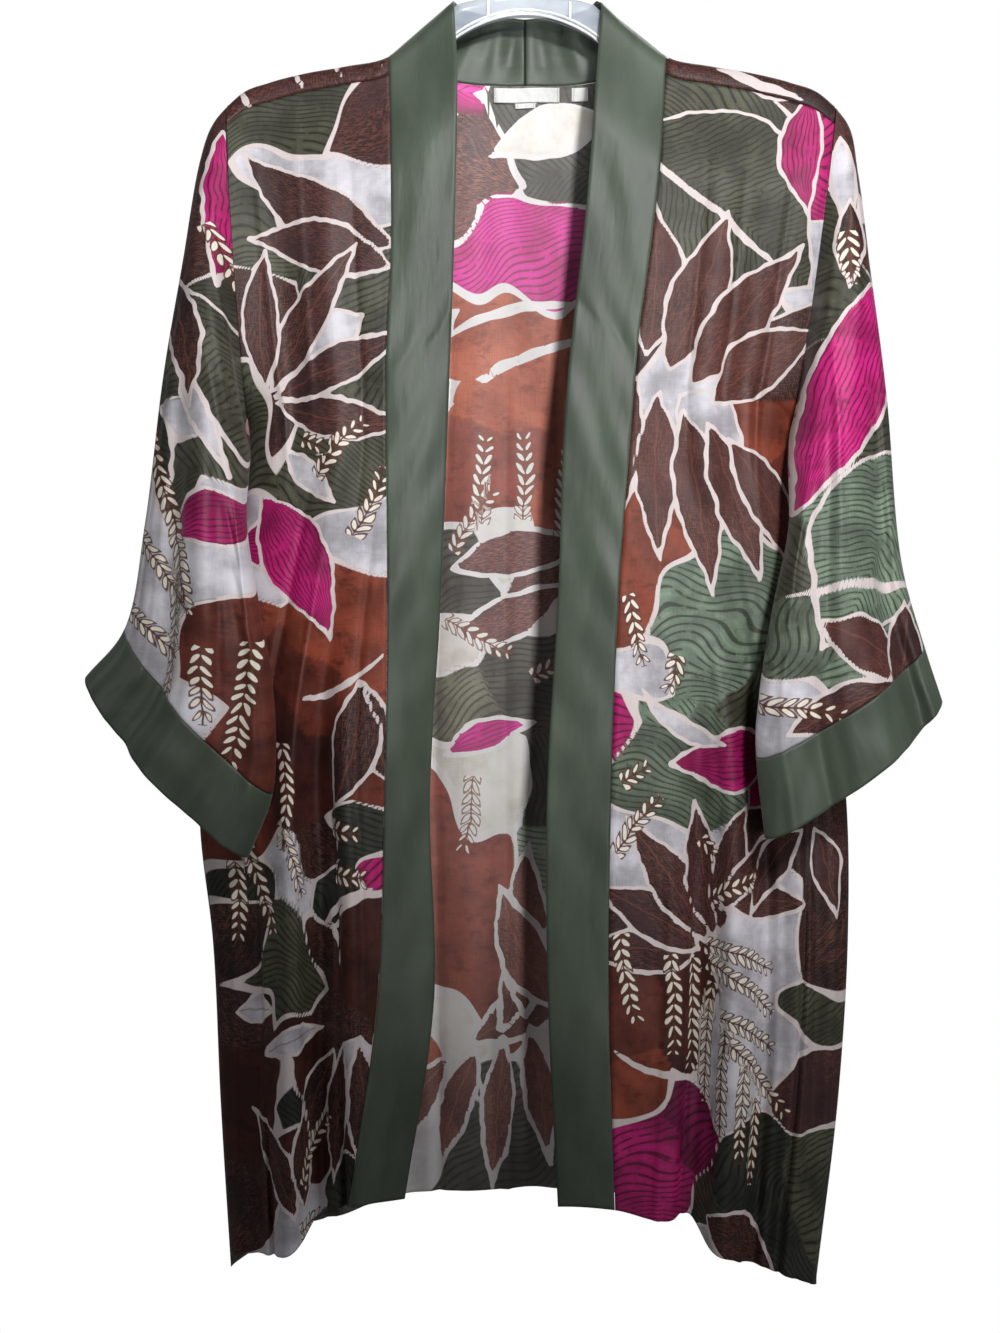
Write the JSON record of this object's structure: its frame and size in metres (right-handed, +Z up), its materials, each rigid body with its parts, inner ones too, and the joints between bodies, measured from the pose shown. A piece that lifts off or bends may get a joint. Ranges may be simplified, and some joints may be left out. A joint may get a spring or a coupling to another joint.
{
  "type": "kimono coat on a clothes hanger",
  "caption": "Open-front kimono coat in leaf-printed cloth with plain satin bands and wide cuffed sleeves, hanging on a plastic hanger with a wire hook.",
  "frame": {"origin": "underside of the hanger hook's crest, where a rail carries it", "axes": "+Z up along the hook's stem, the coat's front faces -Y, and +X is to the right of someone who faces its front"},
  "size_m": [0.6336, 0.1484, 1.0534],
  "materials": {
    "printed_cloth": "light satin-backed cloth with a large leaf print",
    "green_satin": "plain sage green satin",
    "label_cloth": "bare white label tape",
    "hanger_plastic": "clear moulded plastic",
    "hook_steel": "bright wire"
  },
  "bodies": {
    "root": {"back": "printed_cloth", "front_left": "printed_cloth", "front_right": "printed_cloth", "sleeve_left": "printed_cloth", "sleeve_right": "printed_cloth", "cuff_left": "green_satin", "cuff_right": "green_satin", "band_left": "green_satin", "band_right": "green_satin", "label_main": "label_cloth", "label_tab": "label_cloth", "label_size": "label_cloth", "hanger_body": "hanger_plastic", "hanger_hook": "hook_steel"}
  },
  "joints": []
}
